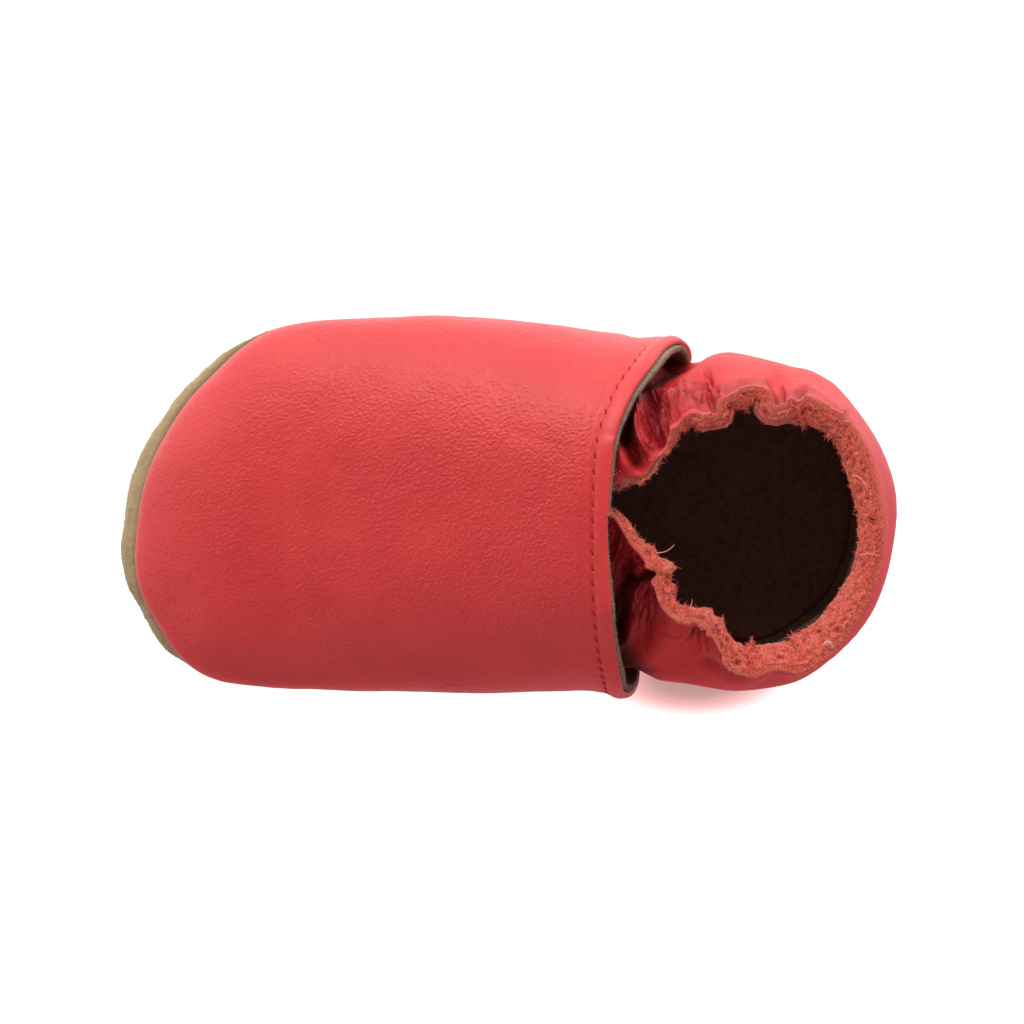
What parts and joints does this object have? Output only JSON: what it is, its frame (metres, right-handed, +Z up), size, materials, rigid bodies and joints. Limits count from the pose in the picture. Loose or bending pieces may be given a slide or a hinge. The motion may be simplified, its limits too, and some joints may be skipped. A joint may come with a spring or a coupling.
{
  "type": "baby crawling shoe",
  "caption": "Soft-soled leather baby shoe for the right foot: hollow vamp, back piece with a gathered elastic collar, suede sole turned up round the toe.",
  "frame": {"origin": "centre of the shoe's plan box, on the plane the sole stands on", "axes": "+Z up; the toe points to -Y and the heel to +Y; +X is the medial side, where the big toe is"},
  "size_m": [0.0651, 0.1322, 0.046],
  "materials": {
    "outsole": "tan suede, napped",
    "insole": "dark brown suede, napped",
    "upper_vamp": "red, pebbled grain, soft sheen",
    "upper_back": "red, crumpled grain, soft sheen",
    "collar_casing": "coral flesh side, fibrous"
  },
  "bodies": {
    "root": {"outsole": "outsole", "insole": "insole", "upper_vamp": "upper_vamp", "upper_back": "upper_back", "collar_casing": "collar_casing"}
  },
  "joints": []
}
